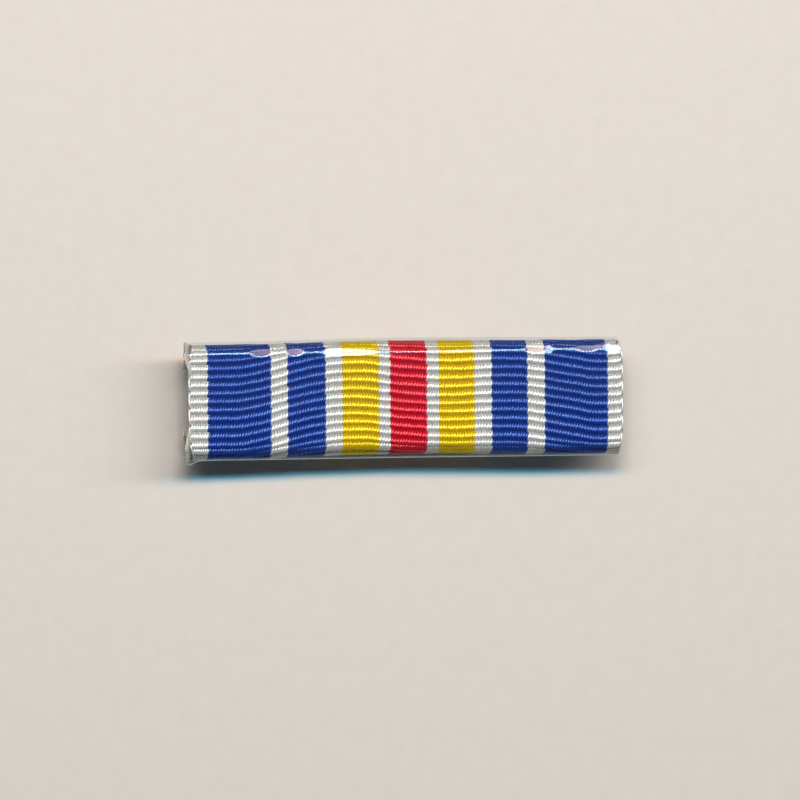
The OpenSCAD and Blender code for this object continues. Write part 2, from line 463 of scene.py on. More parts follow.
def new_group(name, kind, inputs, outputs):
    """A group with sockets (name, type, default): its tree, its inputs' wires and its output node."""
    tree = bpy.data.node_groups.new(name, kind)
    for label, socket_type, default in inputs:
        socket = tree.interface.new_socket(label, in_out="INPUT", socket_type=socket_type)
        if default is not None:
            socket.default_value = default
    for label, socket_type in outputs:
        tree.interface.new_socket(label, in_out="OUTPUT", socket_type=socket_type)
    inlet = tree.nodes.new("NodeGroupInput")
    given = {label: Wire(inlet.outputs[label]) for label, _, _ in inputs}
    return tree, given, tree.nodes.new("NodeGroupOutput")


def place_group(tree, group, inputs):
    """Places a group in a tree, as a node."""
    kind = "ShaderNodeGroup" if tree.type == "SHADER" else "GeometryNodeGroup"
    return add(tree, kind, inputs, node_tree=group)


def use_group(tree, group, inputs):
    """Places a group in a tree, and returns the first wire that leaves it."""
    return Wire(place_group(tree, group, inputs).outputs[0])


def vector(tree, x=0.0, y=0.0, z=0.0):
    return made(tree, "ShaderNodeCombineXYZ", {0: x, 1: y, 2: z})


def parts_of(tree, value):
    """X, Y and Z of a vector."""
    return [Wire(socket) for socket in add(tree, "ShaderNodeSeparateXYZ", {0: value}).outputs]


def position_of(tree):
    """X, Y and Z of the geometry's points."""
    return parts_of(tree, made(tree, "GeometryNodeInputPosition"))


def moved(tree, geometry, x, y, z):
    """The geometry with its points at new places."""
    inputs = {"Geometry": geometry, "Position": vector(tree, x, y, z)}
    return made(tree, "GeometryNodeSetPosition", inputs)


def marked(tree, geometry, name, value, domain="POINT", data_type="FLOAT"):
    """The geometry with a value kept on it by name."""
    inputs = {"Geometry": geometry, "Name": name, "Value": value}
    return made(tree, "GeometryNodeStoreNamedAttribute", inputs, domain=domain, data_type=data_type)


def random_number(tree, low, high, seed):
    inputs = {2: low, 3: high, "Seed": seed}
    return made(tree, "FunctionNodeRandomValue", inputs, output=1, data_type="FLOAT")


def random_vector(tree, low, high, seed):
    inputs = {0: low, 1: high, "Seed": seed}
    return made(tree, "FunctionNodeRandomValue", inputs, data_type="FLOAT_VECTOR")


def noise(tree, place, scale, detail=2.0, roughness=0.5):
    inputs = {"Vector": place, "Scale": scale, "Detail": detail, "Roughness": roughness}
    return made(tree, "ShaderNodeTexNoise", inputs)


def tube(tree, sides, segments):
    """A closed tube of radius 1 and length 1, upright at the origin."""
    inputs = {"Vertices": sides, "Side Segments": segments, "Radius": 1.0, "Depth": 1.0}
    return made(tree, "GeometryNodeMeshCylinder", inputs)


def block(tree, size, columns, rows):
    """A closed block round the origin, one layer thick."""
    inputs = {"Size": size, "Vertices X": columns, "Vertices Y": rows, "Vertices Z": 2}
    return made(tree, "GeometryNodeMeshCube", inputs)


def line_of_points(tree, count, start, step):
    """Points in a line along Y."""
    inputs = {"Count": count, "Start Location": start, "Offset": (0.0, step, 0.0)}
    return made(tree, "GeometryNodeMeshLine", inputs)


def placed(tree, points, piece, **inputs):
    """Copies of a piece on points."""
    inputs = {"Points": points, "Instance": piece, **inputs}
    return made(tree, "GeometryNodeInstanceOnPoints", inputs)


def realized(tree, geometry):
    return made(tree, "GeometryNodeRealizeInstances", {"Geometry": geometry})


def smooth_curve(tree, points, at):
    """A smooth curve through (share, value) points, read at a share from 0 to 1."""
    values = [value for _, value in points]
    low, reach = min(values), max(values) - min(values)
    node = tree.nodes.new("ShaderNodeFloatCurve")
    line = node.mapping.curves[0]
    for _ in points[2:]:
        line.points.new(0.5, 0.5)
    for point, (share, value) in zip(line.points, points):
        point.location = (share, (value - low) / reach)
    node.mapping.update()
    feed(node.inputs["Value"], at)
    return Wire(node.outputs[0]) * reach + low


GEOMETRY = ("Geometry", "NodeSocketGeometry", None)
MATERIAL = ("Material", "NodeSocketMaterial", None)
SHAPE_OUT = [("Geometry", "NodeSocketGeometry")]


def length_input(name, default):
    return (name, "NodeSocketFloat", default)


def count_input(name, default):
    return (name, "NodeSocketInt", default)


def finish_tree(tree, geometry, given, outlet):
    """Every tree ends in real, smooth faces with a material."""
    smooth = made(tree, "GeometryNodeSetShadeSmooth", {"Geometry": realized(tree, geometry)})
    dressed = made(tree, "GeometryNodeSetMaterial", {"Geometry": smooth, "Material": given["Material"]})
    feed(outlet.inputs[0], dressed)


def build(name, tree, material):
    """Runs a geometry tree and returns the plain mesh that it makes, as an object at the origin."""
    piece = bpy.data.objects.new(name, bpy.data.meshes.new(name))
    bpy.context.scene.collection.objects.link(piece)
    modifier = piece.modifiers.new("Make", "NODES")
    modifier.node_group = tree
    for item in tree.interface.items_tree:
        if item.in_out == "INPUT" and item.name == "Material":
            modifier[item.identifier] = material
    shape = piece.evaluated_get(bpy.context.evaluated_depsgraph_get())
    mesh = bpy.data.meshes.new_from_object(shape)
    piece.modifiers.remove(modifier)
    mesh.name = name
    piece.data = mesh
    return piece


# Winding a flat piece round the bar

def columns_of(table, number):
    """A table's first column, with another one."""
    return [(row[0], row[number]) for row in table]


def make_wind_group(name, lower_rows):
    """Winds a flat piece round the bar's two long edges, and keeps the way its filaments then run."""
    tree, given, outlet = new_group(
        name,
        "GeometryNodeTree",
        [GEOMETRY, length_input("Radius", 1.0), length_input("Turn Y", 1.0), length_input("Lap", 0.0)],
        SHAPE_OUT,
    )
    radius, turn_y, lap = given["Radius"], given["Turn Y"], given["Lap"]
    x, along, height = position_of(tree)
    bend = radius * math.pi
    past_lap = along - lap
    on_face = past_lap - bend
    past_face = on_face - turn_y * 2
    past_turns = past_face - bend
    half_turns = (past_lap / bend).within(0, 1) + (past_face / bend).within(0, 1)
    angle = half_turns * -math.pi - math.pi / 2
    on_flats = on_face.at_least(0).at_most(turn_y * 2)
    centre_y = on_flats - turn_y - past_lap.at_most(0) - past_turns.at_least(0)
    reach = radius + height
    across, up = angle.math("COSINE"), angle.math("SINE")
    slant = made(tree, "GeometryNodeInputNamedAttribute", {"Name": "slant"}, data_type="FLOAT")
    along_way = slant.math("SINE")
    grain = vector(tree, slant.math("COSINE"), along_way * up, -along_way * across)
    kept = marked(tree, given["Geometry"], "grain", grain, data_type="FLOAT_VECTOR")
    flat_y = centre_y + reach * across
    share = (x / RIBBON_WIDTH + 0.5).within(0, 1)
    bulge = smooth_curve(tree, EDGE_BULGE, share) * (flat_y / turn_y).within(0, 1)
    draw = smooth_curve(tree, lower_rows, share) * (-flat_y / turn_y).within(0, 1)
    out = flat_y + (bulge + draw) * MM
    feed(outlet.inputs[0], moved(tree, kept, x, out, reach * up + TURN_Z))
    return tree


def make_draw_group(name, pulls, reach):
    """Draws a band's ends in, or lets them out, on its way round, within a reach from each end."""
    tree, given, outlet = new_group(
        name,
        "GeometryNodeTree",
        [GEOMETRY, length_input("Width", 1.0), length_input("Round", 1.0)],
        SHAPE_OUT,
    )
    x, along, height = position_of(tree)
    way = (along / given["Round"]).within(0, 1)
    half = given["Width"] / 2
    left = (-(x + half) / reach + 1).within(0, 1) * smooth_curve(tree, columns_of(pulls, 1), way)
    right = ((x - half) / reach + 1).within(0, 1) * smooth_curve(tree, columns_of(pulls, 2), way)
    drawn = x + (left - right) * MM
    feed(outlet.inputs[0], moved(tree, given["Geometry"], drawn, along, height))
    return tree


def make_bow_group():
    """Bows the ribs across the face, spreads them a little at the right, and lets them waver."""
    tree, given, outlet = new_group("Bow the ribs", "GeometryNodeTree", [GEOMETRY], SHAPE_OUT)
    x, along, height = position_of(tree)
    share = (x / RIBBON_WIDTH + 0.5).within(0, 1)
    fade = (along / BOW_FADE).at_most((-along + WRAP) / BOW_FADE).within(0, 1)
    rise = smooth_curve(tree, RIB_BOW, share) * RIB_PITCH * fade
    spread = (along - WRAP / 2) * (share * 2 - 1) * RIB_FAN
    place = vector(tree, x * WAVER_STRETCH, along)
    waver = (noise(tree, place, WAVER_SCALE, detail=1.0) - 0.5) * RIB_WAVER
    feed(outlet.inputs[0], moved(tree, given["Geometry"], x, along + rise + spread + waver, height))
    return tree


WIND = make_wind_group("Wind the ribbon", columns_of(LOWER_EDGE, 1))
WIND_FILM = make_wind_group("Wind the film", columns_of(LOWER_EDGE, 2))
DRAW = make_draw_group("Draw in the selvedges", SELVEDGE_PULL, reach=1.7 * MM)
DRAW_FILM = make_draw_group("Draw the film's ends", FILM_PULL, reach=1.3 * MM)
BOW = make_bow_group()


def wound_ribbon(tree, geometry):
    """A flat part of the ribbon, bowed, drawn in and wound round the bar."""
    bowed = use_group(tree, BOW, {"Geometry": geometry})
    drawn = use_group(tree, DRAW, {"Geometry": bowed, "Width": RIBBON_WIDTH, "Round": WRAP})
    turns = {"Geometry": drawn, "Radius": RIBBON_RADIUS, "Turn Y": RIBBON_TURN_Y, "Lap": RIBBON_LAP}
    wound = use_group(tree, WIND, turns)
    lifted = {"Geometry": wound, "Translation": (0.0, RIBBON_LIFT, 0.0)}
    return made(tree, "GeometryNodeTransform", lifted)


# Ribbon

def stripe_starts():
    """Share of the width at which each stripe starts."""
    starts = [0.0]
    for share, _ in STRIPES:
        starts.append(starts[-1] + share)
    return starts[:-1]


def make_ground_tree():
    """The band under the warp floats: a closed wall, ribbed outside and smooth inside."""
    tree, given, outlet = new_group(
        "Ribbon ground",
        "GeometryNodeTree",
        [
            count_input("Columns", GROUND_COLUMNS),
            count_input("Rows", (RIBS + 1) * ROWS_TO_A_RIB + 1),
            length_input("Relief", RIB_RELIEF),
            MATERIAL,
        ],
        SHAPE_OUT,
    )
    band = block(tree, (RIBBON_WIDTH, WRAP, RIBBON_THICKNESS), given["Columns"], given["Rows"])
    x, y, z = position_of(tree)
    rib = (y * (math.pi / RIB_PITCH)).math("COSINE")
    outside = z.math("GREATER_THAN", 0)
    crests = (rib * rib - 1) * given["Relief"] - GROUND_SINK
    height = crests * outside - (-outside + 1) * RIBBON_THICKNESS
    shaped = moved(tree, band, x, y + WRAP / 2, height)
    striped = marked(tree, shaped, "across", x / RIBBON_WIDTH + 0.5)
    finish_tree(tree, wound_ribbon(tree, striped), given, outlet)
    return tree


def make_float_group():
    """One warp float: a yarn that arches over a rib and dives between its neighbours at both ends."""
    tree, given, outlet = new_group(
        "Warp float",
        "GeometryNodeTree",
        [length_input("Width", YARN_SPACING)],
        SHAPE_OUT,
    )
    across, around, along = position_of(tree)
    strand = vector(tree, across, along, around)
    kept = marked(tree, tube(tree, sides=6, segments=8), "strand", strand, data_type="FLOAT_VECTOR")
    ends = along * along * 4
    taper = -ends * FLOAT_TAPER + 1
    x = across * given["Width"] / 2 * taper + along * FLOAT_LEAN
    upper, lower = 0.5 - FLOAT_CREST, 0.5 + FLOAT_CREST
    above = (along - FLOAT_CREST).at_least(0) / upper * (across * -SPIKE + 1)
    below = (-along + FLOAT_CREST).at_least(0) / lower
    upper_drop = (above * UPPER_SLOPE + above ** UPPER_POWER * UPPER_DIVE) * upper
    lower_drop = below ** LOWER_POWER * (LOWER_SLOPE * lower)
    drop = ((upper_drop + lower_drop) * FLOAT_LENGTH).at_most(DEEPEST)
    height = -around * (FLOAT_THICKNESS / 2) * taper - drop - FLOAT_THICKNESS / 2
    y = along * FLOAT_LENGTH + across * FLOAT_SHEAR
    feed(outlet.inputs[0], moved(tree, kept, x, y, height))
    return tree


def make_stripe_group(float_group):
    """The warp floats of one stripe, lying flat: a row of yarns over each rib, a little staggered."""
    tree, given, outlet = new_group(
        "Stripe of warp floats",
        "GeometryNodeTree",
        [
            length_input("Start", 0.0),
            length_input("Width", 1.0),
            count_input("Yarns", 10),
            count_input("Seed", 1),
        ],
        SHAPE_OUT,
    )
    seed = given["Seed"]
    spacing = given["Width"] / given["Yarns"]
    reach_y = (RIBS - 1) * RIB_PITCH
    grid = {
        "Size X": given["Width"] - spacing,
        "Size Y": reach_y,
        "Vertices X": given["Yarns"],
        "Vertices Y": RIBS,
    }
    points = made(tree, "GeometryNodeMeshGrid", grid)
    x, y, z = position_of(tree)
    rib = ((y + reach_y / 2) / RIB_PITCH).math("ROUND")
    stagger = (rib % 2 - 0.5) * STAGGER
    shift_x = (stagger + random_number(tree, -FLOAT_SHIFT, FLOAT_SHIFT, seed)) * spacing
    shift_y = random_number(tree, -FLOAT_SLIP, FLOAT_SLIP, seed + 1)
    middle = given["Start"] + given["Width"] / 2 - RIBBON_WIDTH / 2
    spots = moved(tree, points, x + middle + shift_x, y + WRAP / 2 + shift_y, z)
    yarn = use_group(tree, float_group, {"Width": spacing * FLOAT_OVERLAP})
    turn = vector(tree, z=random_number(tree, -FLOAT_TURN, FLOAT_TURN, seed + 2))
    size = vector(
        tree,
        random_number(tree, *FLOAT_WIDTHS, seed + 3),
        random_number(tree, *FLOAT_LENGTHS, seed + 4),
        random_number(tree, *FLOAT_HEIGHTS, seed + 5),
    )
    rotation = made(tree, "FunctionNodeEulerToRotation", {0: turn})
    floats = placed(tree, spots, yarn, Rotation=rotation, Scale=size)
    tone = random_number(tree, 0.0, 1.0, seed + 6)
    toned = marked(tree, floats, "tone", tone, domain="INSTANCE")
    slant = random_number(tree, *FILAMENT_SLANT, seed + 7)
    slanted = marked(tree, toned, "slant", slant, domain="INSTANCE")
    feed(outlet.inputs[0], realized(tree, slanted))
    return tree


def make_warp_tree(colour, stripe_group):
    """All warp floats of one colour, wound round the bar."""
    tree, given, outlet = new_group(
        f"Warp of {colour} yarn",
        "GeometryNodeTree",
        [length_input("Yarn spacing", YARN_SPACING), MATERIAL],
        SHAPE_OUT,
    )
    joined = tree.nodes.new("GeometryNodeJoinGeometry")
    for number, ((share, yarn), start) in enumerate(zip(STRIPES, stripe_starts())):
        if yarn != colour:
            continue
        width = share * RIBBON_WIDTH
        first = start * RIBBON_WIDTH
        if number in (0, len(STRIPES) - 1):
            width -= CORD_WIDTH
            first += CORD_WIDTH if number == 0 else 0
        inputs = {
            "Start": first,
            "Width": width,
            "Yarns": (given["Yarn spacing"] ** -1 * width).math("ROUND"),
            "Seed": 10 * number,
        }
        tree.links.new(use_group(tree, stripe_group, inputs).socket, joined.inputs[0])
    finish_tree(tree, wound_ribbon(tree, Wire(joined.outputs[0])), given, outlet)
    return tree


def make_selvedge_tree():
    """Cords down both selvedges, where the weft turns back: one loop to every second rib of each."""
    tree, given, outlet = new_group(
        "Selvedge cords",
        "GeometryNodeTree",
        [
            length_input("Cord", CORD_WIDTH),
            length_input("Length", LOOP_LENGTH),
            count_input("Seed", 5),
            MATERIAL,
        ],
        SHAPE_OUT,
    )
    across, around, along = position_of(tree)
    strand = vector(tree, across, along * 3, around)
    kept = marked(tree, tube(tree, sides=7, segments=8), "strand", strand, data_type="FLOAT_VECTOR")
    ends = (along * 2) ** 2.0
    ring = given["Cord"] / 2
    joined = tree.nodes.new("GeometryNodeJoinGeometry")
    for side, count, first, inset in SELVEDGE_LOOPS:
        inwards = ends * ends * inset + ring
        x = across * ring - inwards * side
        sunk = -around * ring - ends * ends * (inset * LOOP_DIVE)
        height = sunk - along * LOOP_SLOPE - LOOP_SINK
        cord = moved(tree, kept, x, along * given["Length"], height)
        start = (side * RIBBON_WIDTH / 2, first * RIB_PITCH, 0.0)
        points = line_of_points(tree, count, start, 2 * RIB_PITCH)
        cords = placed(tree, points, cord, Scale=random_number(tree, *LOOP_SIZES, given["Seed"]))
        tone = random_number(tree, *LOOP_TONES, given["Seed"])
        toned = marked(tree, cords, "tone", tone, domain="INSTANCE")
        tree.links.new(toned.socket, joined.inputs[0])
    real = realized(tree, Wire(joined.outputs[0]))
    finish_tree(tree, wound_ribbon(tree, real), given, outlet)
    return tree


def make_threads_tree():
    """Short threads that have come loose at the left selvedge, on both turns: arcs of fine yarn."""
    tree, given, outlet = new_group(
        "Loose threads",
        "GeometryNodeTree",
        [
            length_input("Thread", 0.045 * MM),
            length_input("Curl", 0.16 * MM),
            count_input("Seed", 3),
            MATERIAL,
        ],
        SHAPE_OUT,
    )
    across, around, along = position_of(tree)
    turn = along * THREAD_ARC
    ring = given["Thread"] / 2
    reach = across * ring + given["Curl"]
    x = turn.math("COSINE") * reach
    y = turn.math("SINE") * reach * THREAD_STRETCH
    height = around * ring + along * along * given["Curl"]
    thread = moved(tree, tube(tree, sides=5, segments=9), x, y, height)
    joined = tree.nodes.new("GeometryNodeJoinGeometry")
    for count, first, last in LOOSE_THREADS:
        start = (-RIBBON_WIDTH / 2, first * WRAP, -THREAD_SINK)
        points = line_of_points(tree, count, start, (last - first) * WRAP / count)
        shift = random_vector(tree, *THREAD_SHIFT, given["Seed"])
        spread = made(tree, "GeometryNodeSetPosition", {"Geometry": points, "Offset": shift})
        spin = random_vector(tree, *THREAD_SPIN, given["Seed"] + 1)
        rotation = made(tree, "FunctionNodeEulerToRotation", {0: spin})
        size = random_number(tree, *THREAD_SIZES, given["Seed"] + 2)
        threads = placed(tree, spread, thread, Rotation=rotation, Scale=size)
        tree.links.new(threads.socket, joined.inputs[0])
    real = realized(tree, Wire(joined.outputs[0]))
    finish_tree(tree, wound_ribbon(tree, real), given, outlet)
    return tree


# Film

def press_facets(x, around, before, dip):
    """Presses the facets into the upper turn, and returns how deep it dips and how milky they are."""
    milky = None
    for share, half_length, tilt, depth, milk in FACETS:
        off_x = (x - (share - 0.5) * RIBBON_WIDTH) / (half_length * MM)
        pressed = (off_x * off_x * -1 + 1) * (depth * MM)
        middle = tilt * DEGREE
        plane = -pressed + FILM_RADIUS - before * math.sin(middle)
        reach = plane / (around - middle).math("COSINE")
        if milk:
            facet = ((-reach + FILM_RADIUS - dip) / FACET_FADE).within(0, 1)
            half_angle = (pressed.at_least(0) * (2 / FILM_RADIUS)) ** 0.5
            past_rim = (around + half_angle - middle - FACET_RIM) / FACET_RIM_FADE
            dull = facet * past_rim.within(0, 1) * milk
            milky = dull if milky is None else milky.at_least(dull)
        dip = dip.math("SMOOTH_MAX", -reach + FILM_RADIUS, FACET_ROUNDING)
    return dip, milky


def make_film_tree():
    """The clear film, a thin closed wall. Its upper turn has a corner and facets, its lower turn is
    boxed, and its left end is tucked in and crumpled over both."""
    tree, given, outlet = new_group(
        "Cover film",
        "GeometryNodeTree",
        [
            count_input("Columns", FILM_COLUMN_COUNT),
            count_input("Rows", FILM_ROW_COUNT),
            length_input("Thickness", FILM_THICKNESS),
            MATERIAL,
        ],
        SHAPE_OUT,
    )
    width = RIBBON_WIDTH - 2 * FILM_INSET
    bend = math.pi * FILM_RADIUS
    length = 2 * FILM_LAP + 2 * bend + 2 * FILM_TURN_Y
    sheet = block(tree, (width, length, 1.0), given["Columns"], given["Rows"])
    x, y, z = position_of(tree)
    along = smooth_curve(tree, FILM_ROWS, y / length + 0.5) * length
    x = (smooth_curve(tree, FILM_COLUMNS, x / width + 0.5) - 0.5) * width
    place = vector(tree, x, along)
    ripple = (noise(tree, place, RIPPLE_SCALE) - 0.5) * FILM_RIPPLE

    # Upper turn
    past_face = along - (2 * FILM_TURN_Y + FILM_LAP + bend)
    around = (past_face / FILM_RADIUS).within(0, 1)
    corner = ((past_face / FILM_RADIUS).within(0, math.pi / 2) * 2).math("SINE")
    square = smooth_curve(tree, FILM_CORNER, (x / RIBBON_WIDTH + 0.5).within(0, 1)) * MM
    dip, milky = press_facets(x, around, past_face.at_most(0), -(corner * corner * square))

    # Lower turn
    before_face = -along + FILM_LAP + bend
    lower_angle = (before_face / FILM_RADIUS).within(0, FILM_EDGE_ANGLE)
    edge = (lower_angle * (math.pi / FILM_EDGE_ANGLE)).math("SINE")
    boxed = edge * edge * FILM_EDGE

    # Left end
    lower_turn = (-(along - FILM_LAP - bend + TURN_MARGIN) / TURN_FADE).within(0, 1)
    upper_turn = ((past_face - TURN_MARGIN) / TURN_FADE).within(0, 1)
    turning = lower_turn + upper_turn
    from_end = x + width / 2
    inward = (-from_end / FILM_TUCK + 1).within(0, 1)
    tucked = inward * (turning * TUCK_STEEPNESS - (TUCK_STEEPNESS - 1)).within(0, 1)
    near_turn = (before_face.at_least(past_face) / SCUFF_FADE + 2).within(0, 1)
    scuffing = -from_end / SCUFF_WIDTH + SCUFF_ON_FACE + turning * SCUFF_ON_TURNS
    scuff = scuffing.within(0, 1) * near_turn
    crumple = (noise(tree, place, CRUMPLE_SCALE) - CRUMPLE_REST) * scuff * turning * FILM_CRUMPLE
    tucked_x = x.at_least(turning * FILM_TUCK - width / 2)

    wall = (z - 0.5) * given["Thickness"]
    height = wall - dip + boxed + ripple + crumple - tucked * TUCK_DEPTH
    marks = marked(tree, marked(tree, sheet, "scuff", scuff), "milky", milky)
    shaped = moved(tree, marks, tucked_x + crumple * CRUMPLE_SIDEWAYS, along, height)
    drawn = use_group(tree, DRAW_FILM, {"Geometry": shaped, "Width": width, "Round": length})
    turns = {"Geometry": drawn, "Radius": FILM_RADIUS, "Turn Y": FILM_TURN_Y, "Lap": FILM_LAP}
    finish_tree(tree, use_group(tree, WIND_FILM, turns), given, outlet)
    return tree


# Finishes

COLOUR = "NodeSocketColor"
NUMBER = "NodeSocketFloat"


def attribute(tree, name, output="Fac"):
    return Wire(add(tree, "ShaderNodeAttribute", attribute_name=name).outputs[output])


def object_place(tree):
    return Wire(add(tree, "ShaderNodeTexCoord").outputs["Object"])


def blend(tree, factor, low, high):
    """A colour between two colours."""
    node = tree.nodes.new("ShaderNodeMix")
    node.data_type = "RGBA"
    feed(node.inputs["Factor"], factor)
    feed(node.inputs[6], low)
    feed(node.inputs[7], high)
    return Wire(node.outputs[2])


def bump(tree, height, distance):
    return made(tree, "ShaderNodeBump", {"Height": height, "Distance": distance})


def make_painted_turn_shade():
    """Painted shade on the ribbon: both turns are darkened, most where they stand out, and the lower
    one more.
    """
    tree, given, outlet = new_group(
        "Painted shade on the turns",
        "ShaderNodeTree",
        [("Color", COLOUR, (1, 1, 1, 1))],
        [("Color", COLOUR)],
    )
    _, y, z = parts_of(tree, object_place(tree))
    off_middle = (z - TURN_Z).math("ABSOLUTE") / RIBBON_RADIUS
    lower = (y / -RIBBON_TURN_Y).within(0, 1)
    # painted shade, darkest where the turns stand out and more on the lower turn
    painted_shade = (-(off_middle * off_middle) + 1).within(0, 1) * (lower * LOWER_PAINTED_SHADE + UPPER_PAINTED_SHADE)
    feed(outlet.inputs[0], blend(tree, painted_shade, given["Color"], PAINTED_SHADE_COLOUR))
    return tree


def make_yarn_finish():
    """Silk yarn: colour, roughness and normal from its filaments, which run slantwise round it, with
    painted shade at the floats' ends and on the turns.
    """
    tree, given, outlet = new_group(
        "Silk yarn",
        "ShaderNodeTree",
        [
            ("Dye", COLOUR, (0.5, 0.5, 0.5, 1)),
            ("Shade", COLOUR, (0.2, 0.2, 0.2, 1)),
            ("Twist", NUMBER, YARN_TWIST),
        ],
        [("Color", COLOUR), ("Roughness", NUMBER), ("Normal", "NodeSocketVector")],
    )
    across, along, _ = parts_of(tree, attribute(tree, "strand", "Vector"))
    filament = ((across + along * given["Twist"]) * FILAMENTS).math("SINE") * 0.5 + 0.5
    place = object_place(tree)
    fine = noise(tree, place, 9000.0, detail=3.0, roughness=0.7)
    broad = noise(tree, place, 1300.0)
    fibres = filament * 0.25 + fine * 0.5 + broad * 0.25
    ends = (along * along * 4).within(0, 1)
    # fibres and yarn tone, less the painted shade at the floats' ends
    light = fibres + attribute(tree, "tone") * YARN_TONE - ends * FLOAT_END_SHADE
    unshaded = blend(tree, light.within(0, 1), given["Shade"], given["Dye"])
    # the colour gets the painted shade of the turns
    feed(outlet.inputs["Color"], use_group(tree, PAINTED_TURN_SHADE, {"Color": unshaded}))
    feed(outlet.inputs["Roughness"], fine * 0.08 + 0.28)
    feed(outlet.inputs["Normal"], bump(tree, filament * 0.5 + fine * 0.25, 0.006 * MM))
    return tree


PAINTED_TURN_SHADE = make_painted_turn_shade()
YARN_FINISH = make_yarn_finish()


def new_material(name):
    """A material with a Principled shader, as its tree and that shader."""
    material = bpy.data.materials.new(name)
    material.use_nodes = True
    return material, material.node_tree, material.node_tree.nodes["Principled BSDF"]


def opaque(colour):
    return (*colour, 1.0)


def silk(colour):
    """Dyed silk yarn."""
    material, tree, shader = new_material(f"{colour}_silk")
    dyes = YARNS[colour]
    inputs = {"Dye": opaque(dyes["dye"]), "Shade": opaque(dyes["shade"]), "Twist": YARN_TWIST}
    finish = place_group(tree, YARN_FINISH, inputs)
    feed(shader.inputs["Base Color"], Wire(finish.outputs["Color"]))
    feed(shader.inputs["Roughness"], Wire(finish.outputs["Roughness"]))
    feed(shader.inputs["Normal"], Wire(finish.outputs["Normal"]))
    feed(shader.inputs["IOR"], 2.3)
    feed(shader.inputs["Specular IOR Level"], 1.0)
    feed(shader.inputs["Specular Tint"], opaque(dyes["gloss"]))
    feed(shader.inputs["Anisotropic"], 0.6)
    feed(shader.inputs["Tangent"], attribute(tree, "grain", "Vector"))
    return material


def ground_cloth():
    """The ribbon under the floats: stripes in the yarns' ground colours, matt, with fine fibres and
    painted shade on the turns.
    """
    material, tree, shader = new_material("ribbon_ground_cloth")
    ramp = tree.nodes.new("ShaderNodeValToRGB")
    ramp.color_ramp.interpolation = "CONSTANT"
    elements = ramp.color_ramp.elements
    while len(elements) < len(STRIPES):
        elements.new(0.5)
    for element, start, (_, yarn) in zip(elements, stripe_starts(), STRIPES):
        element.position = start
        element.color = opaque(YARNS[yarn]["ground"])
    feed(ramp.inputs[0], attribute(tree, "across"))
    fibres = noise(tree, object_place(tree), 7000.0, detail=3.0, roughness=0.7)
    unshaded = blend(tree, fibres * 0.3, Wire(ramp.outputs[0]), (0.02, 0.02, 0.02, 1))
    # the colour gets the painted shade of the turns
    feed(shader.inputs["Base Color"], use_group(tree, PAINTED_TURN_SHADE, {"Color": unshaded}))
    feed(shader.inputs["Roughness"], fibres * 0.3 + 0.6)
    feed(shader.inputs["Specular IOR Level"], 0.1)
    feed(shader.inputs["Normal"], bump(tree, fibres, 0.02 * MM))
    return material


def clear_film():
    """Thin clear film. Only the gloss of its front shows, stronger along the lower edge and warmer and
    duller where a facet is milky, and a haze where it is scuffed."""
    material = bpy.data.materials.new("clear_film")
    material.use_nodes = True
    tree = material.node_tree
    tree.nodes.remove(tree.nodes["Principled BSDF"])
    place = object_place(tree)
    dust = noise(tree, place, 2500.0)
    milky = attribute(tree, "milky")
    tint = blend(tree, milky, CLEAR_TINT, MILKY_TINT)
    roughness = dust * 0.05 + 0.06 + milky * 0.25
    sharp = made(tree, "ShaderNodeBsdfGlossy", {"Color": tint, "Roughness": roughness})
    soft = made(tree, "ShaderNodeBsdfGlossy", {"Color": tint, "Roughness": 0.3})
    gloss = made(tree, "ShaderNodeMixShader", {0: 0.05, 1: sharp, 2: soft})
    through = made(tree, "ShaderNodeBsdfTransparent", {"Color": (0.985, 0.985, 0.98, 1)})
    fresnel = made(tree, "ShaderNodeFresnel", {"IOR": FILM_IOR})
    _, y, _ = parts_of(tree, place)
    lower = (y / -FILM_TURN_Y).within(0, 1)
    shine = fresnel * (lower * LOWER_SHINE + FILM_SHINE) - lower * LOWER_LOSS + BASE_GLOSS
    behind = Wire(add(tree, "ShaderNodeNewGeometry").outputs["Backfacing"])
    shadow = Wire(add(tree, "ShaderNodeLightPath").outputs["Is Shadow Ray"])
    seen = -behind.at_least(shadow) + 1
    share = shine.within(*GLOSS_LIMITS) * seen
    clear = made(tree, "ShaderNodeMixShader", {0: share, 1: through, 2: gloss})
    haze = made(tree, "ShaderNodeBsdfDiffuse", {"Color": HAZE_COLOUR})
    scuffed = attribute(tree, "scuff") * (noise(tree, place, 5000.0) + 0.4)
    hazed = made(tree, "ShaderNodeMixShader", {0: scuffed.within(0, 1), 1: clear, 2: haze})
    tree.links.new(hazed.socket, tree.nodes["Material Output"].inputs["Surface"])
    return material


def dulled_brass():
    """Stamped brass sheet, dulled, with rolling marks along the bar and darker tarnish."""
    material, tree, shader = new_material("dulled_brass")
    place = object_place(tree)
    stretched = made(tree, "ShaderNodeMapping", {"Vector": place, "Scale": (60.0, 4000.0, 4000.0)})
    marks = noise(tree, stretched, 1.0, detail=3.0)
    tarnish = noise(tree, place, 420.0, detail=4.0, roughness=0.6)
    patch = ((tarnish - 0.45) * 4).within(0, 1)
    feed(shader.inputs["Base Color"], blend(tree, patch * 0.7, BRASS, TARNISH))
    feed(shader.inputs["Metallic"], 1.0)
    feed(shader.inputs["Roughness"], patch * 0.2 + marks * 0.15 + 0.25)
    feed(shader.inputs["Normal"], bump(tree, marks, 0.006 * MM))
    return material


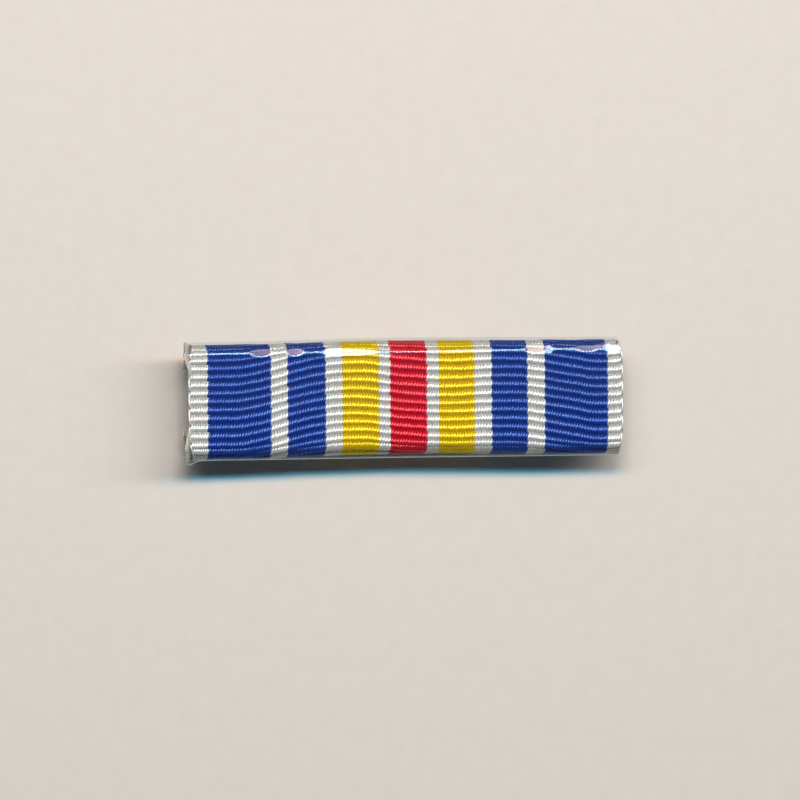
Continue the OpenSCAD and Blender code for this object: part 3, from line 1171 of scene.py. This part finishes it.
def plated_steel():
    """Nickel plating, lightly worn: fine polishing marks and a few dull spots."""
    material, tree, shader = new_material("plated_steel")
    place = object_place(tree)
    stretched = made(tree, "ShaderNodeMapping", {"Vector": place, "Scale": (150.0, 5200.0, 5200.0)})
    marks = noise(tree, stretched, 1.0, detail=3.0)
    dullness = noise(tree, place, 900.0, detail=4.0, roughness=0.65)
    spots = ((dullness - 0.56) * 7).within(0, 1)
    feed(shader.inputs["Base Color"], blend(tree, spots, NICKEL, WORN_NICKEL))
    feed(shader.inputs["Metallic"], 1.0)
    feed(shader.inputs["Roughness"], spots * 0.25 + marks * 0.12 + 0.16)
    feed(shader.inputs["Normal"], bump(tree, marks, 0.003 * MM))
    return material


def pale_paper():
    """Plain pale surface that the bar lies on."""
    material, tree, shader = new_material("pale_paper")
    grain = noise(tree, object_place(tree), 700.0, detail=4.0)
    feed(shader.inputs["Base Color"], blend(tree, grain, PAPER, LIGHT_PAPER))
    feed(shader.inputs["Roughness"], 0.9)
    return material


# Pieces

def dress(node, material):
    """Gives a solid of the frame a finish, without touching its mesh."""
    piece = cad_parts[node]
    for slot in piece.material_slots:
        slot.link = "OBJECT"
        slot.material = material


FLOAT_GROUP = make_float_group()
STRIPE_GROUP = make_stripe_group(FLOAT_GROUP)

ground = build("ribbon_ground", make_ground_tree(), ground_cloth())
warps = [
    build(f"warp_{colour}", make_warp_tree(colour, STRIPE_GROUP), silk(colour))
    for colour in YARNS
]
selvedges = build("selvedge_cords", make_selvedge_tree(), bpy.data.materials["white_silk"])
threads = build("loose_threads", make_threads_tree(), bpy.data.materials["white_silk"])
film = build("film", make_film_tree(), clear_film())
dress("carrier", dulled_brass())
dress("brooch_pin", plated_steel())

woven = [*warps, selvedges, threads]
for piece in [ground, *woven]:
    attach(piece, "root")
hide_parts("ribbon")
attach(film, "root")
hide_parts("cover_film")


# Floor, lights and camera

def make_floor():
    bpy.ops.mesh.primitive_plane_add(size=1.2)
    floor = bpy.context.object
    floor.name = "floor"
    floor.data.materials.append(pale_paper())


def make_lamp(colour, tilt, middle, size, energy):
    """A strip lamp past the bar's upper edge, which faces it, at a tilt from straight above."""
    data = bpy.data.lights.new("lamp_strip", "AREA")
    data.shape = "RECTANGLE"
    data.size = size
    data.size_y = LAMP_DEPTH
    data.energy = energy
    data.color = colour
    lamp = bpy.data.objects.new("lamp_strip", data)
    bpy.context.scene.collection.objects.link(lamp)
    lamp.location = (middle, LAMP_HEIGHT * math.tan(tilt), LAMP_HEIGHT)
    lamp.rotation_euler = (-tilt, 0, 0)


def make_lamps():
    """A long lamp and a short bright one, each of a warm strip and a cool one."""
    for colour, tilt in LAMP_STRIPS:
        make_lamp(colour, tilt, middle=0.25, size=1.0, energy=2.1)
        make_lamp(colour, tilt, middle=-0.055, size=0.12, energy=0.55)


def make_sky():
    world = bpy.data.worlds.new("dim_room")
    world.use_nodes = True
    sky = world.node_tree.nodes["Background"]
    sky.inputs["Color"].default_value = (0.66, 0.84, 1.0, 1)
    sky.inputs["Strength"].default_value = 0.068
    bpy.context.scene.world = world


def make_camera():
    """Looks down on the face, from a little to the left, with the bar rising slightly to the right."""
    data = bpy.data.cameras.new("camera")
    data.lens = 600
    data.clip_start = 0.01
    camera = bpy.data.objects.new("camera", data)
    bpy.context.scene.collection.objects.link(camera)
    back = Vector((-math.sin(CAMERA_LEFT), math.sin(CAMERA_UP), 1)).normalized()
    right = (Vector((1, 0, 0)) - back * back.x).normalized()
    up = back.cross(right)
    scale = PIXELS_PER_MM / MM
    distance = (PICTURE_WIDTH / scale) / (data.sensor_width / data.lens)
    aim = Vector((0, 0, cad_high.z)) - right * (BAR_OFF_MIDDLE / scale)
    turn = Matrix((right, up, back)).transposed() @ Matrix.Rotation(-CAMERA_ROLL, 3, "Z")
    camera.matrix_world = Matrix.Translation(aim + back * distance) @ turn.to_4x4()
    bpy.context.scene.camera = camera


make_floor()
make_lamps()
make_sky()
make_camera()
bpy.context.scene.view_settings.view_transform = "Standard"
